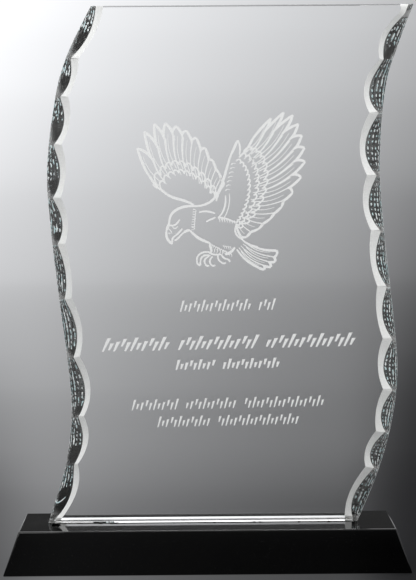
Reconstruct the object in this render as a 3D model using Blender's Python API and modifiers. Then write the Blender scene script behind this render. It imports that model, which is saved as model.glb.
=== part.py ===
"""Glass award: an upright plate of clear glass with two S-curved, chipped edges, bonded to a black glass base.

The origin is the middle of the base's underside. +Z is up, +X runs along the base, and the engraved face
looks towards -Y. All sizes are in metres.
"""
import math

import bmesh
import bpy
from mathutils import Matrix, Vector
from mathutils.geometry import interpolate_bezier

# Base: a black glass block whose two ends lean in
BASE_WIDTH = 0.2286
BASE_DEPTH = 0.0508
BASE_HEIGHT = 0.0254
END_LEAN = 0.0091
BASE_ARRIS = 0.0005

# Plate: clear glass, standing on the base with a film of clear adhesive under its foot
ADHESIVE_GAP = 0.0003
PLATE_HEIGHT = 0.2905
PLATE_THICKNESS = 0.0150
PLATE_SET_BACK = 0.0029
FOOT_INSET_LEFT = 0.0150
FOOT_INSET_RIGHT = 0.0199
POLISHED_CHAMFER = 0.0010

# The plate's edges on the front face, from the foot up: height, then run to the right of the foot's corner,
# both as shares of the plate's height
LEFT_EDGE = ((0, 0), (0.117, 0.0365), (0.235, 0.0485), (0.45, 0.0262), (0.58, 0.0127),
             (0.69, 0.0076), (0.83, 0.0258), (0.905, 0.0478), (1, 0.0950))
RIGHT_EDGE = ((0, 0), (0.10, 0.0403), (0.20, 0.0671), (0.30, 0.0771), (0.42, 0.0675),
              (0.55, 0.0527), (0.70, 0.0430), (0.85, 0.0554), (0.93, 0.0802), (1, 0.1071))

# Chips struck off the back of each edge, from the foot up: length along the edge, then how far the scoop
# bites in. The lengths are stretched to fill the edge.
LEFT_CHIPS = ((0.0321, 0.0073), (0.0276, 0.0070), (0.0343, 0.0076), (0.0334, 0.0068), (0.0309, 0.0048),
              (0.0260, 0.0062), (0.0298, 0.0068), (0.0269, 0.0065), (0.0215, 0.0056), (0.0284, 0.0062))
RIGHT_CHIPS = ((0.0293, 0.0068), (0.0206, 0.0065), (0.0239, 0.0057), (0.0290, 0.0070), (0.0299, 0.0054),
               (0.0315, 0.0054), (0.0313, 0.0066), (0.0351, 0.0076), (0.0299, 0.0082), (0.0237, 0.0073),
               (0.0063, 0.0020))
CHIP_COLUMNS = 6
SCOOP_ROWS = 4

# A chip's section: a steep scoop behind the front edge, then a shallow flare out to the back face
RIDGE_BITE = 0.0014
SCOOP_LIP = 0.0017
RIDGE_LIP = 0.0030
FLARE_RUN = 0.0030
RIDGE_FLARE = 0.0062
SCOOP_ROUNDING = 0.6

# Engraving, cut as V grooves in the front face. The artwork is as large as the plate allows: its unit is
# the bird's span, held by the plate's height or by the width of its foot.
SPAN_OF_HEIGHT = 0.3442
SPAN_OF_FOOT = 0.5698
BIRD_LEVEL = 0.644
ARTWORK_TILT = math.radians(0.9)
ARTWORK_SHIFT = 0.139
BIRD_LINE = 0.0068
FEATHER_LINE = 0.0052
LINE_SEGMENTS = 4

# A wing's feathers stand between a root curve and a tip curve, each given by its four control points,
# in spans from the bird's middle. Feathers crowd together towards the end of the curves.
LEFT_WING = dict(roots=((-0.33, 0.02), (-0.30, 0.14), (-0.18, 0.12), (-0.06, -0.06)),
                 tips=((-0.50, 0.24), (-0.42, 0.52), (-0.16, 0.44), (-0.01, 0.06)),
                 feathers=11, crowding=1.25, bend=0.05, notch=0.24)
RIGHT_WING = dict(roots=((0.07, 0.17), (0.17, 0.15), (0.15, -0.06), (0.055, -0.175)),
                  tips=((0.20, 0.36), (0.50, 0.62), (0.58, -0.03), (0.085, -0.265)),
                  feathers=13, crowding=1.2, bend=-0.05, notch=0.22)
QUILL_START, QUILL_END = 0.10, 0.95
COVERT_BULGE = 0.45

# The bird's outline, as curves with four control points each
BODY_LINES = (
    ((-0.300, -0.185), (-0.330, -0.100), (-0.240, -0.070), (-0.165, -0.080)),
    ((-0.150, -0.080), (-0.020, -0.075), (-0.020, 0.080), (0.035, 0.195)),
    ((-0.302, -0.200), (-0.315, -0.250), (-0.290, -0.280), (-0.270, -0.245)),
    ((-0.262, -0.235), (-0.250, -0.215), (-0.235, -0.200), (-0.210, -0.205)),
    ((-0.195, -0.212), (-0.170, -0.250), (-0.140, -0.270), (-0.095, -0.280)),
    ((-0.180, -0.065), (-0.220, -0.030), (-0.300, -0.040), (-0.345, 0.000)),
    ((-0.290, -0.180), (-0.280, -0.185), (-0.265, -0.170), (-0.255, -0.160)),
    ((0.035, -0.320), (0.015, -0.350), (-0.005, -0.370), (-0.035, -0.365)),
    ((-0.088, -0.290), (-0.085, -0.310), (-0.078, -0.325), (-0.070, -0.335)),
)
TALONS = (((-0.080, -0.345), (-0.140, -0.350), (-0.150, -0.390), (-0.125, -0.410)),
          ((-0.068, -0.355), (-0.110, -0.365), (-0.110, -0.400), (-0.090, -0.415)),
          ((-0.050, -0.360), (-0.070, -0.380), (-0.070, -0.405), (-0.048, -0.420)))
TAIL = dict(roots=((0.050, -0.318), (0.065, -0.305), (0.080, -0.295), (0.095, -0.280)),
            tips=((0.200, -0.435), (0.235, -0.430), (0.275, -0.390), (0.280, -0.345)),
            feathers=4, crowding=1.0, bend=-0.08, notch=0.12)
NECK_TICKS = dict(start=(-0.185, -0.105), step=(-0.004, -0.020), run=(0.022, 0.006), count=5)

# Five rows of leaning wedge strokes below the bird: level as a share of the plate's height, then height,
# width and stroke in spans, the lean of the strokes, and how many strokes stand in each group
ROWS = (dict(level=0.414, tall=0.064, width=0.537, stroke=0.0070, lean=0.32, groups=(18, 4)),
        dict(level=0.340, tall=0.076, width=1.423, stroke=0.0125, lean=0.52, groups=(12, 14, 16)),
        dict(level=0.301, tall=0.057, width=0.591, stroke=0.0090, lean=0.32, groups=(10, 14)),
        dict(level=0.224, tall=0.060, width=1.091, stroke=0.0070, lean=0.32, groups=(12, 12, 20)),
        dict(level=0.190, tall=0.060, width=0.802, stroke=0.0070, lean=0.32, groups=(14, 22)))
STROKE_SPANS = ((0.0, 1.0), (0.10, 0.55), (0.0, 0.70), (0.36, 0.92), (0.06, 0.66))
GROUP_SPACE = 1.6
WEDGE_TAPER = 0.45

plate_foot = BASE_HEIGHT + ADHESIVE_GAP
plate_front = PLATE_SET_BACK - PLATE_THICKNESS / 2
base_top_half = BASE_WIDTH / 2 - END_LEAN
foot_left = FOOT_INSET_LEFT - base_top_half
foot_right = base_top_half - FOOT_INSET_RIGHT
artwork_unit = min(SPAN_OF_HEIGHT * PLATE_HEIGHT, SPAN_OF_FOOT * (foot_right - foot_left))


def clear_scene():
    """Remove every object that the file opened with."""
    for old in list(bpy.data.objects):
        bpy.data.objects.remove(old, do_unlink=True)


def new_collection(name):
    """Make a collection in the scene."""
    collection = bpy.data.collections.new(name)
    bpy.context.scene.collection.children.link(collection)
    return collection


def glass(name, color, roughness, transmission):
    """A glass finish with its own tint."""
    material = bpy.data.materials.new(name)
    material.use_nodes = True
    shader = material.node_tree.nodes["Principled BSDF"]
    shader.inputs["Base Color"].default_value = (*color, 1.0)
    shader.inputs["Roughness"].default_value = roughness
    shader.inputs["Metallic"].default_value = 0.0
    shader.inputs["Transmission Weight"].default_value = transmission
    shader.inputs["IOR"].default_value = 1.52
    return material


def mesh_object(name, bm, collection, material=None):
    """Turn a bmesh into an object of the collection."""
    mesh = bpy.data.meshes.new(name)
    bm.to_mesh(mesh)
    bm.free()
    obj = bpy.data.objects.new(name, mesh)
    collection.objects.link(obj)
    if material:
        mesh.materials.append(material)
    return obj


def make_base(collection):
    """The black block: a box whose top is drawn in at both ends, with ground arrises."""
    bm = bmesh.new()
    bmesh.ops.create_cube(bm, size=1.0)
    bmesh.ops.scale(bm, vec=(BASE_WIDTH, BASE_DEPTH, BASE_HEIGHT), verts=bm.verts)
    bmesh.ops.translate(bm, vec=(0, 0, BASE_HEIGHT / 2), verts=bm.verts)
    for vert in bm.verts:
        if vert.co.z > BASE_HEIGHT / 2:
            vert.co.x -= math.copysign(END_LEAN, vert.co.x)
    base = mesh_object("black_base", bm, collection, glass("black_glass", (0.006, 0.006, 0.007), 0.05, 0.0))
    arris = base.modifiers.new("arris", "BEVEL")
    arris.width = BASE_ARRIS
    arris.segments = 1
    return base


def edge_run(edge, share):
    """Run of an edge at a share of the height: a smooth curve through the edge's points."""
    tangents = []
    for index in range(len(edge)):
        before, after = edge[max(index - 1, 0)], edge[min(index + 1, len(edge) - 1)]
        tangents.append((after[1] - before[1]) / (after[0] - before[0]))
    index = 0
    while index < len(edge) - 2 and edge[index + 1][0] < share:
        index += 1
    (low, low_run), (high, high_run) = edge[index], edge[index + 1]
    step = high - low
    t = (share - low) / step
    return (low_run * (1 + 2 * t) * (1 - t) ** 2 + high_run * t * t * (3 - 2 * t)
            + step * t * (1 - t) * (tangents[index] * (1 - t) - tangents[index + 1] * t))


def chip_starts(chips):
    """Heights above the foot where the chips of an edge meet, with both ends."""
    stretch = PLATE_HEIGHT / sum(length for length, _ in chips)
    starts = [0.0]
    for length, _ in chips:
        starts.append(starts[-1] + length * stretch)
    return starts


def chip_section(chips, height):
    """Points from the front edge to the back face at one height: inset from the edge, then depth."""
    starts = chip_starts(chips)
    index = 0
    while index < len(chips) - 1 and starts[index + 1] <= height:
        index += 1
    share = (height - starts[index]) / (starts[index + 1] - starts[index])
    swell = max(0.0, 4 * share * (1 - share))
    bite = chips[index][1]
    scoop = RIDGE_BITE + (bite - RIDGE_BITE) * swell ** SCOOP_ROUNDING
    scoop_depth = PLATE_THICKNESS - RIDGE_LIP + (RIDGE_LIP - SCOOP_LIP) * swell
    flare = max(RIDGE_FLARE + (bite + FLARE_RUN - RIDGE_FLARE) * swell, scoop + FLARE_RUN / 2)
    rows = [(scoop * (row / SCOOP_ROWS) ** 2, scoop_depth * row / SCOOP_ROWS) for row in range(SCOOP_ROWS + 1)]
    return rows + [(flare, PLATE_THICKNESS)]


def plate_stations():
    """Heights above the foot at which the plate gets a section, close together where a chip turns."""
    ridges = sorted(set(chip_starts(LEFT_CHIPS) + chip_starts(RIGHT_CHIPS)))
    stations = [POLISHED_CHAMFER, PLATE_HEIGHT - POLISHED_CHAMFER] + ridges[1:-1]
    closest = PLATE_HEIGHT / 400
    for chips in (LEFT_CHIPS, RIGHT_CHIPS):
        starts = chip_starts(chips)
        for low, high in zip(starts, starts[1:]):
            for column in range(1, CHIP_COLUMNS):
                turn = (1 - math.cos(math.pi * column / CHIP_COLUMNS)) / 2
                height = low + (high - low) * turn
                if min(abs(height - other) for other in stations) > closest:
                    stations.append(height)
    return sorted(station for station in stations
                  if POLISHED_CHAMFER <= station <= PLATE_HEIGHT - POLISHED_CHAMFER)


def plate_section(height, chamfer=0.0):
    """Closed outline of the plate at one height, from above, with its front and back drawn in by a chamfer."""
    share = height / PLATE_HEIGHT
    left = foot_left + edge_run(LEFT_EDGE, share) * PLATE_HEIGHT
    right = foot_right + edge_run(RIGHT_EDGE, share) * PLATE_HEIGHT
    squeeze = 1 - 2 * chamfer / PLATE_THICKNESS
    points = [(right - inset, depth) for inset, depth in chip_section(RIGHT_CHIPS, height)]
    points += [(left + inset, depth) for inset, depth in reversed(chip_section(LEFT_CHIPS, height))]
    return [Vector((x, plate_front + chamfer + depth * squeeze, plate_foot + height)) for x, depth in points]


def make_plate(collection):
    """The plate: sections lofted from the foot to the top, with flat faces made whole again."""
    sections = [plate_section(0.0, POLISHED_CHAMFER)]
    sections += [plate_section(height) for height in plate_stations()]
    sections.append(plate_section(PLATE_HEIGHT, POLISHED_CHAMFER))
    bm = bmesh.new()
    rings = [[bm.verts.new(point) for point in section] for section in sections]
    count = len(rings[0])
    for lower, upper in zip(rings, rings[1:]):
        for index in range(count):
            after = (index + 1) % count
            bm.faces.new((lower[index], lower[after], upper[after], upper[index]))
    bm.faces.new(reversed(rings[0]))
    bm.faces.new(rings[-1])
    bmesh.ops.recalc_face_normals(bm, faces=bm.faces)
    flat = [edge for edge in bm.edges
            if all(abs(face.normal.y) > 0.99999 for face in edge.link_faces)]
    bmesh.ops.dissolve_edges(bm, edges=flat, use_verts=False, use_face_split=False)
    plate = mesh_object("glass_plate", bm, collection, glass("clear_glass", (0.93, 0.97, 0.96), 0.0, 1.0))
    plate.data.shade_smooth()
    plate.data.set_sharp_from_angle(angle=math.radians(25))
    return plate


def between(start, end, share):
    """Point at a share of the way between two points."""
    return start + (end - start) * share


def curve_points(controls, segments):
    """Points along a curve with four control points."""
    first, leave, arrive, last = (Vector((x, z, 0.0)) for x, z in controls)
    return [point.xy for point in interpolate_bezier(first, leave, arrive, last, segments + 1)]


def curve_point(controls, share):
    """One point of a curve with four control points."""
    first, leave, arrive, last = (Vector(control) for control in controls)
    rest = 1 - share
    return (first * rest ** 3 + leave * 3 * rest * rest * share
            + arrive * 3 * rest * share * share + last * share ** 3)


def bent_line(start, end, bend, segments):
    """Points from start to end along a shallow bow, with the bow as a share of the length."""
    along = end - start
    side = Vector((-along.y, along.x)) * bend
    return [between(start, end, step / segments) + side * math.sin(math.pi * step / segments)
            for step in range(segments + 1)]


def feather_fan(fan):
    """Strokes of a fan of feathers: a quill line up to each notch, and the two sides of each tip."""
    fine = fan["feathers"] * 2
    shares = [1 - (1 - index / fine) ** fan["crowding"] for index in range(fine + 1)]
    roots = [curve_point(fan["roots"], share) for share in shares]
    tips = [curve_point(fan["tips"], share) for share in shares]
    notches = [between(tip, root, fan["notch"]) for root, tip in zip(roots, tips)]
    strokes = []
    for index in range(0, fine + 1, 2):
        start, end = (between(roots[index], notches[index], share) for share in (QUILL_START, QUILL_END))
        quill = bent_line(start, end, fan["bend"], 2)
        strokes.append((quill, FEATHER_LINE))
    for index in range(1, fine, 2):
        for side in (index - 1, index + 1):
            corner = between(notches[side], tips[index], 0.04)
            point = between(notches[side], tips[index], 0.94)
            strokes.append(([corner, point], BIRD_LINE))
    return strokes


def covert_row(fan):
    """Short arcs, one over each feather's root, that bulge towards the tips."""
    shares = [1 - (1 - index / fan["feathers"]) ** fan["crowding"] for index in range(fan["feathers"] + 1)]
    roots = [curve_point(fan["roots"], share) for share in shares]
    return [(bent_line(between(start, end, 0.1), between(start, end, 0.9), COVERT_BULGE, 3), FEATHER_LINE)
            for start, end in zip(roots, roots[1:])]


def bird_strokes():
    """Every stroke of the bird, in spans from its middle, with its width."""
    strokes = []
    for fan in (LEFT_WING, RIGHT_WING, TAIL):
        strokes += feather_fan(fan)
    for wing in (LEFT_WING, RIGHT_WING):
        strokes += covert_row(wing)
    for controls in BODY_LINES + TALONS:
        strokes.append((curve_points(controls, LINE_SEGMENTS), BIRD_LINE))
    start, step, run = (Vector(NECK_TICKS[name]) for name in ("start", "step", "run"))
    for index in range(NECK_TICKS["count"]):
        strokes.append(([start + step * index, start + step * index + run], FEATHER_LINE))
    return strokes


def row_strokes(row):
    """Strokes of one row, in spans from the middle of its foot: parallel wedges of changing length."""
    slots = sum(row["groups"]) + GROUP_SPACE * (len(row["groups"]) - 1)
    pitch = row["width"] / slots
    rise = Vector((row["lean"] * row["tall"], row["tall"]))
    strokes, place, number = [], (pitch - row["width"]) / 2, 0
    for group in row["groups"]:
        for _ in range(group):
            low, high = STROKE_SPANS[number % len(STROKE_SPANS)]
            foot = Vector((place, 0.0))
            strokes.append(([foot + rise * high, foot + rise * low], row["stroke"]))
            place += pitch
            number += 1
        place += pitch * GROUP_SPACE
    return strokes


def engraving_cutter(collection):
    """All strokes as four-sided tapered rods that lie in the front face, made one mesh."""
    curve = bpy.data.curves.new("engraving", "CURVE")
    curve.dimensions = "3D"
    curve.bevel_depth = 1.0
    curve.bevel_resolution = 0
    curve.use_fill_caps = True
    middle = (foot_left + foot_right) / 2 + ARTWORK_SHIFT * artwork_unit
    pieces = [(BIRD_LEVEL, bird_strokes())] + [(row["level"], row_strokes(row)) for row in ROWS]
    for level, strokes in pieces:
        place = Matrix.Translation((middle, plate_front, plate_foot + level * PLATE_HEIGHT))
        place = place @ Matrix.Rotation(-ARTWORK_TILT, 4, "Y") @ Matrix.Scale(artwork_unit, 4)
        for points, width in strokes:
            spline = curve.splines.new("POLY")
            spline.points.add(len(points) - 1)
            for index, (point, target) in enumerate(zip(points, spline.points)):
                target.co = (*(place @ Vector((point.x, 0.0, point.y))), 1.0)
                fade = index / (len(points) - 1)
                target.radius = width / 2 * artwork_unit * (1 - (1 - WEDGE_TAPER) * fade)
    rods = bpy.data.objects.new("engraving_rods", curve)
    collection.objects.link(rods)
    evaluated = rods.evaluated_get(bpy.context.evaluated_depsgraph_get())
    mesh = bpy.data.meshes.new_from_object(evaluated)
    cutter = bpy.data.objects.new("engraving_cutter", mesh)
    cutter.matrix_world = rods.matrix_world
    collection.objects.link(cutter)
    bpy.data.objects.remove(rods, do_unlink=True)
    bm = bmesh.new()
    bm.from_mesh(mesh)
    bmesh.ops.remove_doubles(bm, verts=bm.verts, dist=1e-6)
    bm.to_mesh(mesh)
    bm.free()
    cutter.hide_render = True
    cutter.display_type = "WIRE"
    return cutter


def main():
    """Build the award."""
    clear_scene()
    pieces = new_collection("glass_award")
    cutters = new_collection("cutters")
    make_base(pieces)
    plate = make_plate(pieces)
    engraving = plate.modifiers.new("engraving", "BOOLEAN")
    engraving.operation = "DIFFERENCE"
    engraving.solver = "EXACT"
    engraving.use_self = True
    engraving.object = engraving_cutter(cutters)


main()
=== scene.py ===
# Glass award: the looks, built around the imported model.
import math

import bmesh
import bpy
import numpy as np
from mathutils import Matrix, Vector


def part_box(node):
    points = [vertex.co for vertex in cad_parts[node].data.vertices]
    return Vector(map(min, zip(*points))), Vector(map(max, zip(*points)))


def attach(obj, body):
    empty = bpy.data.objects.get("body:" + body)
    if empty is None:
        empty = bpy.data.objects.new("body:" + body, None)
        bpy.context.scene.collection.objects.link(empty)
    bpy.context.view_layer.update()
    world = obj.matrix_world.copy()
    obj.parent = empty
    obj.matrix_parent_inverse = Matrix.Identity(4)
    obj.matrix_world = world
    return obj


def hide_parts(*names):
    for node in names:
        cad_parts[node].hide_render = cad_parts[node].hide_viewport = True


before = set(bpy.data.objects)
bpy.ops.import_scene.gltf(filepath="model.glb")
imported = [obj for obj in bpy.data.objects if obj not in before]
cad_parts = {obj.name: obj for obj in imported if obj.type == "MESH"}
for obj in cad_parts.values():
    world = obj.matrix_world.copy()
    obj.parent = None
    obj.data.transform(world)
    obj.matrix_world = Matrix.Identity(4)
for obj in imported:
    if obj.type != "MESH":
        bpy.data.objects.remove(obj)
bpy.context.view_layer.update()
plateLow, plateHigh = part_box("glass_plate")
baseLow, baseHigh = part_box("black_base")
plateHeight = plateHigh.z - plateLow.z
plateThickness = plateHigh.y - plateLow.y
footPoints = [vert.co.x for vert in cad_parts["glass_plate"].data.vertices
              if vert.co.z < plateLow.z + 1e-5]
plateFootLeft, plateFootRight = min(footPoints), max(footPoints)
print("frame loaded")


# A socket that can be used in sums, in shaders and in geometry trees alike
class Wire:
    def __init__(self, tree, socket):
        self.tree = tree
        self.socket = socket

    def mix(self, operation, first, second=None):
        node = self.tree.nodes.new("ShaderNodeMath")
        node.operation = operation
        for slot, value in zip(node.inputs, (first, second)):
            if value is not None:
                connect(self.tree, slot, value)
        return Wire(self.tree, node.outputs[0])

    def __add__(self, other):
        return self.mix("ADD", self, other)

    def __radd__(self, other):
        return self.mix("ADD", other, self)

    def __sub__(self, other):
        return self.mix("SUBTRACT", self, other)

    def __rsub__(self, other):
        return self.mix("SUBTRACT", other, self)

    def __mul__(self, other):
        return self.mix("MULTIPLY", self, other)

    def __rmul__(self, other):
        return self.mix("MULTIPLY", other, self)

    def __truediv__(self, other):
        return self.mix("DIVIDE", self, other)

    def __rtruediv__(self, other):
        return self.mix("DIVIDE", other, self)

    def __rpow__(self, other):
        return self.mix("POWER", other, self)

    def __neg__(self):
        return self.mix("MULTIPLY", self, -1.0)

    def __abs__(self):
        return self.mix("ABSOLUTE", self)

    def sine(self):
        return self.mix("SINE", self)

    def modulo(self, other):
        return self.mix("FLOORED_MODULO", self, other)

    def above(self, other):  # 1 where it is greater, else 0
        return self.mix("GREATER_THAN", self, other)

    def atLeast(self, low):
        return self.mix("MAXIMUM", self, low)

    def atMost(self, high):
        return self.mix("MINIMUM", self, high)

    def clamp(self):
        return self.atLeast(0.0).atMost(1.0)

    def rises(self, low, high):  # 0 below low, 1 above high, smooth between
        share = ((self - low) / (high - low)).clamp()
        return share * share * (3.0 - 2.0 * share)


def connect(tree, slot, value):
    if isinstance(value, Wire):
        tree.links.new(value.socket, slot)
    else:
        slot.default_value = value


# Any other node: its type, its settings, then the values or wires of its sockets
def addNode(tree, kind, settings=None, inputs=None, output=0):
    node = tree.nodes.new(kind)
    for name, value in (settings or {}).items():
        setattr(node, name, value)
    for name, value in (inputs or {}).items():
        connect(tree, node.inputs[name], value)
    return Wire(tree, node.outputs[output])


def addRamp(tree, value, stops):
    node = tree.nodes.new("ShaderNodeValToRGB")
    node.color_ramp.interpolation = "CARDINAL"
    points = node.color_ramp.elements
    while len(points) < len(stops):
        points.new(0.5)
    for point, (place, tone) in zip(points, stops):
        point.position = place
        point.color = (tone, tone, tone, 1.0)
    connect(tree, node.inputs[0], value)
    return Wire(tree, node.outputs[0])


def newMaterial(name):
    material = bpy.data.materials.new(name)
    material.use_nodes = True
    return material, material.node_tree, material.node_tree.nodes["Principled BSDF"]


def setShader(tree, shader, values):
    for name, value in values.items():
        connect(tree, shader.inputs[name], value)


def objectPlace(tree):
    place = addNode(tree, "ShaderNodeTexCoord", output=3)
    parts = tree.nodes.new("ShaderNodeSeparateXYZ")
    tree.links.new(place.socket, parts.inputs[0])
    return place, [Wire(tree, socket) for socket in parts.outputs]


def noise(tree, place, scale, detail=2.0):
    return addNode(tree, "ShaderNodeTexNoise", None, {"Vector": place, "Scale": scale, "Detail": detail})


def mixColours(tree, factor, first, second):
    colours = {"Factor": factor, "A": first, "B": second}
    return addNode(tree, "ShaderNodeMix", {"data_type": "RGBA"}, colours, 2)


# A geometry tree whose inputs have names and defaults
class Tree:
    def __init__(self, name, inputs, material):
        self.tree = bpy.data.node_groups.new(name, "GeometryNodeTree")
        face = self.tree.interface
        face.new_socket("Geometry", in_out="INPUT", socket_type="NodeSocketGeometry")
        face.new_socket("Geometry", in_out="OUTPUT", socket_type="NodeSocketGeometry")
        self.names = {}
        for label, value in inputs.items():
            kind = "NodeSocketInt" if isinstance(value, int) else "NodeSocketFloat"
            socket = face.new_socket(label, in_out="INPUT", socket_type=kind)
            socket.default_value = value
            self.names[label] = socket.identifier
        self.entry = self.tree.nodes.new("NodeGroupInput")
        self.material = material

    def input(self, label):
        return Wire(self.tree, self.entry.outputs[label])

    def add(self, kind, settings=None, inputs=None, output=0):
        return addNode(self.tree, kind, settings, inputs, output)

    def place(self):  # x, y and z of each point
        parts = self.tree.nodes.new("ShaderNodeSeparateXYZ")
        self.tree.links.new(self.add("GeometryNodeInputPosition").socket, parts.inputs[0])
        return [Wire(self.tree, socket) for socket in parts.outputs]

    def vector(self, parts):
        return self.add("ShaderNodeCombineXYZ", None, parts)

    def shade(self, geometry, smooth):
        return self.add("GeometryNodeSetShadeSmooth", None, {"Geometry": geometry, "Shade Smooth": smooth})

    def scatter(self, place, instance, size):  # an instance on each of as many points as Count says
        points = self.add("GeometryNodePoints", None, {"Count": self.input("Count"), "Position": place})
        return self.add("GeometryNodeInstanceOnPoints", None,
                        {"Points": points, "Instance": instance, "Scale": size})

    def attribute(self, label):
        return self.add("GeometryNodeInputNamedAttribute", {"data_type": "FLOAT"}, {"Name": label})

    def finish(self, geometry):
        whole = self.add("GeometryNodeRealizeInstances", None, {"Geometry": geometry})
        if self.material:
            whole = self.add("GeometryNodeSetMaterial", None, {"Geometry": whole, "Material": self.material})
        leave = self.tree.nodes.new("NodeGroupOutput")
        self.tree.links.new(whole.socket, leave.inputs[0])


def addObject(name, data):
    item = bpy.data.objects.new(name, data)
    bpy.context.scene.collection.objects.link(item)
    return item


def takeMesh(name, bm):
    mesh = bpy.data.meshes.new(name)
    bm.to_mesh(mesh)
    bm.free()
    return mesh


def boxBetween(low, high):
    bm = bmesh.new()
    bmesh.ops.create_cube(bm, size=1.0)
    bmesh.ops.scale(bm, vec=high - low, verts=bm.verts)
    bmesh.ops.translate(bm, vec=(low + high) / 2, verts=bm.verts)
    return bm


def grow(tree, source, name, values):  # runs a tree on an object and keeps the result as a plain mesh
    modifier = source.modifiers.new(name, "NODES")
    modifier.node_group = tree.tree
    for label, value in values.items():
        modifier[tree.names[label]] = value
    evaluated = source.evaluated_get(bpy.context.evaluated_depsgraph_get())
    mesh = bpy.data.meshes.new_from_object(evaluated)
    bpy.data.objects.remove(source, do_unlink=True)
    return addObject(name, mesh)


def joinPieces(name, pieces):
    bm = bmesh.new()
    for piece in pieces:
        bm.from_mesh(piece.data)
    materials = list(pieces[0].data.materials)
    mesh = takeMesh(name, bm)
    for piece in pieces:
        bpy.data.objects.remove(piece, do_unlink=True)
    for material in materials:
        mesh.materials.append(material)
    return addObject(name, mesh)


# Finishes. Clouds, patches and grain are scales of noise, and a turn is where it goes from one to the other.
glassFinish = {
    "glass": (1.0, 1.0, 1.0, 1.0), "faint": (0.985, 0.99, 0.995, 1.0), "clouds": 9.0, "ior": 1.52,
}
chipFinish = {
    "glass": (0.66, 0.86, 0.87, 1.0), "faint": (0.94, 1.0, 1.0, 1.0), "clouds": 320.0,
    # deep is a painted shade, and aqua and white are painted glints
    "deep": (0.022, 0.020, 0.018, 1.0), "paintedShadeRoughness": 0.25,
    "paintedAqua": (0.54, 0.72, 0.74, 1.0), "paintedWhite": (0.94, 0.97, 0.97, 1.0),
    "patches": 420.0, "patchTurn": (0.40, 0.60), "paintedGlintTurn": (0.20, 0.44), "painted": 0.84,
}
groundFinish = {
    "dark": (0.78, 0.78, 0.765, 1.0), "light": (0.86, 0.86, 0.845, 1.0), "grain": 1500.0,
    "turn": (0.30, 0.65), "roughness": 0.7, "ior": 1.3, "through": 0.85,
}
etchFinish = {
    "dark": (0.70, 0.70, 0.70, 1.0), "light": (0.87, 0.87, 0.86, 1.0), "grain": 2600.0, "turn": (0.25, 0.60),
    "roughness": 0.85, "ior": 1.3,
}
blackFinish = {
    "colour": (0.0006, 0.0006, 0.0006, 1.0), "ior": 1.40, "polish": 0.02,
    "smudge": 0.05, "smears": 28.0, "smearTurn": (0.52, 0.80),
    "dustColour": (0.30, 0.30, 0.28, 1.0), "dust": 0.12, "specks": 2100.0, "speckTurn": (0.74, 0.80),
}
filmFinish = {
    "colour": (0.010, 0.009, 0.007, 1.0), "tan": (0.085, 0.055, 0.030, 1.0), "roughness": 0.25,
    "tanEnd": (0.035, 0.075), "stains": 160.0, "stainTurn": (0.30, 0.60),
}


def mixShaders(tree, factor, first, second):
    both = tree.nodes.new("ShaderNodeMixShader")
    for slot, value in zip(both.inputs, (factor, first, second)):
        connect(tree, slot, value)
    return Wire(tree, both.outputs[0])


def translucent(tree, colour):
    return addNode(tree, "ShaderNodeBsdfTranslucent", None, {"Color": colour})


def finishShader(tree, wire):
    tree.links.new(wire.socket, tree.nodes["Material Output"].inputs["Surface"])


def makeClearGlass(name, finish):
    material, tree, shader = newMaterial(name)
    place, _ = objectPlace(tree)
    colour = mixColours(tree, noise(tree, place, finish["clouds"]), finish["glass"], finish["faint"])
    setShader(tree, shader, {"Base Color": colour, "Roughness": 0.0, "IOR": glassFinish["ior"],
                             "Transmission Weight": 1.0})
    return material, tree, shader


def makeChippedGlass():
    # painted light: painted white and aqua glints where the ripples glint, and a painted shade between them,
    # dark like thick glass seen edge-on
    material, tree, shader = makeClearGlass("chipped_glass", chipFinish)
    place, _ = objectPlace(tree)
    paintedGlint = addNode(tree, "ShaderNodeAttribute", {"attribute_name": "paintedGlint"}, None, 2)
    # the painted shade between the glints
    deep = addNode(tree, "ShaderNodeBsdfPrincipled", None, {
        "Base Color": chipFinish["deep"], "Roughness": chipFinish["paintedShadeRoughness"],
        "IOR": glassFinish["ior"]})
    # painted glints, aqua and white in patches, laid where the ripple pattern glints
    patches = noise(tree, place, chipFinish["patches"]).rises(*chipFinish["patchTurn"])
    paintedAqua, paintedWhite = translucent(tree, chipFinish["paintedAqua"]), translucent(tree, chipFinish["paintedWhite"])
    broken = mixShaders(tree, patches, paintedAqua, paintedWhite)
    painted = mixShaders(tree, paintedGlint.rises(*chipFinish["paintedGlintTurn"]), deep, broken)
    finishShader(tree, mixShaders(tree, chipFinish["painted"], Wire(tree, shader.outputs[0]), painted))
    return material


def makeGroundEdge():  # the satin flare behind each chip lets light through but blurs it
    material, tree, shader = newMaterial("ground_edge")
    place, _ = objectPlace(tree)
    grain = noise(tree, place, groundFinish["grain"]).rises(*groundFinish["turn"])
    dark, light = groundFinish["dark"], groundFinish["light"]
    setShader(tree, shader, {"Base Color": mixColours(tree, grain, dark, light),
                             "Roughness": groundFinish["roughness"], "IOR": groundFinish["ior"]})
    lit = mixShaders(tree, grain, translucent(tree, dark), translucent(tree, light))
    finishShader(tree, mixShaders(tree, groundFinish["through"], Wire(tree, shader.outputs[0]), lit))
    return material


def makeEtch():
    material, tree, shader = newMaterial("frosted_etch")
    place, _ = objectPlace(tree)
    grain = noise(tree, place, etchFinish["grain"]).rises(*etchFinish["turn"])
    setShader(tree, shader, {"Base Color": mixColours(tree, grain, etchFinish["dark"], etchFinish["light"]),
                             "Roughness": etchFinish["roughness"], "IOR": etchFinish["ior"]})
    return material


def makeBlackGlass():
    material, tree, shader = newMaterial("black_glass")
    place, _ = objectPlace(tree)
    smear = noise(tree, place, blackFinish["smears"], 4.0).rises(*blackFinish["smearTurn"])
    specks = noise(tree, place, blackFinish["specks"], 1.0).rises(*blackFinish["speckTurn"])
    dusty = mixColours(tree, blackFinish["dust"] * specks, blackFinish["colour"], blackFinish["dustColour"])
    setShader(tree, shader, {"Base Color": dusty, "IOR": blackFinish["ior"],
                             "Roughness": blackFinish["polish"] + blackFinish["smudge"] * smear})
    return material


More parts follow.
